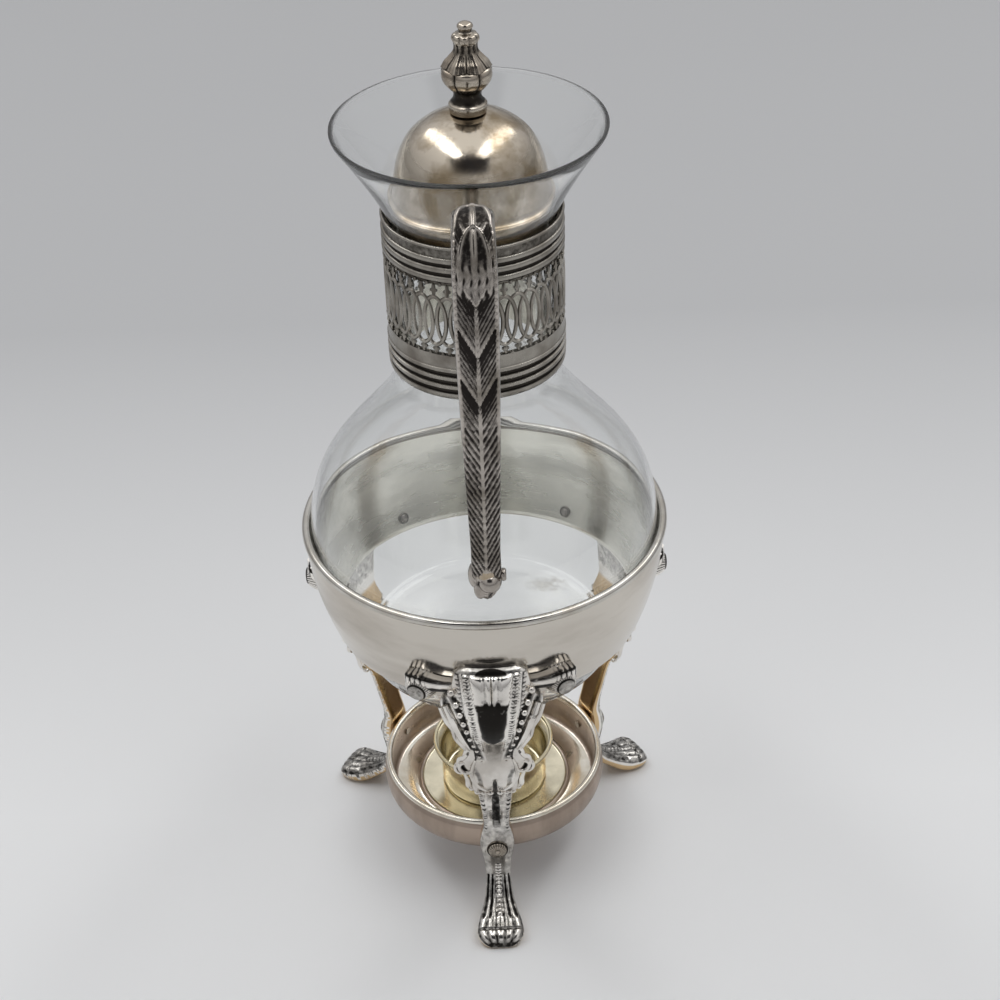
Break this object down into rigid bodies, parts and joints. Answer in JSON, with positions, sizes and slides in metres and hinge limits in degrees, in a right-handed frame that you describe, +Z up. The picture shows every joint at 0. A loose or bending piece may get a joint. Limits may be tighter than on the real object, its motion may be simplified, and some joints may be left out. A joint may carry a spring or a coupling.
{
  "type": "coffee carafe on warming stand",
  "caption": "Glass carafe with a pierced metal collar, a cast handle and a loose domed lid, standing in a footed warming stand over a candle cup",
  "frame": {"origin": "On the table, under the middle of the whole object's box", "axes": "+Z is up, -Y points to the handle and the front leg, +X is to the right seen from the handle's side"},
  "size_m": [0.1354, 0.153, 0.3404],
  "materials": {
    "clear_glass": "clear, fire polished",
    "silver": "polished silver plate with warm tarnish",
    "dark_silver": "cast silver plate, dark and oxidised",
    "cast_silver": "cast silver plate, dull in the hollows and bright on the high spots",
    "yellow_silver": "silver plate tarnished yellow",
    "steel": "plain"
  },
  "bodies": {
    "stand": {"warmer_bowl": "silver", "bowl_rim": "silver", "leg_front": "cast_silver", "leg_right": "cast_silver", "leg_left": "cast_silver", "bowl_rivet_1": "cast_silver", "bowl_rivet_2": "cast_silver", "bowl_rivet_3": "cast_silver", "bowl_rivet_4": "cast_silver", "bowl_rivet_5": "cast_silver", "bowl_rivet_6": "cast_silver", "candle_tray": "silver", "tray_screw_front": "cast_silver", "tray_screw_right": "cast_silver", "tray_screw_left": "cast_silver"},
    "carafe": {"glass_carafe": "clear_glass", "neck_collar": "dark_silver", "handle": "dark_silver", "clamp_screw_upper": "steel", "clamp_screw_lower": "steel", "clamp_nut_upper": "steel", "clamp_nut_lower": "steel"},
    "lid": {"lid_dome": "silver", "lid_bezel": "silver", "lid_finial": "silver", "finial_nut": "steel"},
    "cup": {"candle_cup": "yellow_silver"}
  },
  "joints": [
    {"name": "carafe_lift", "type": "slide", "parent": "stand", "child": "carafe", "axis": [0, 0, 1], "range_m": [0, 0.08]},
    {"name": "lid_lift", "type": "slide", "parent": "carafe", "child": "lid", "axis": [0, 0, 1], "range_m": [0, 0.05]},
    {"name": "cup_lift", "type": "slide", "parent": "stand", "child": "cup", "axis": [0, 0, 1], "range_m": [0, 0.045]}
  ]
}
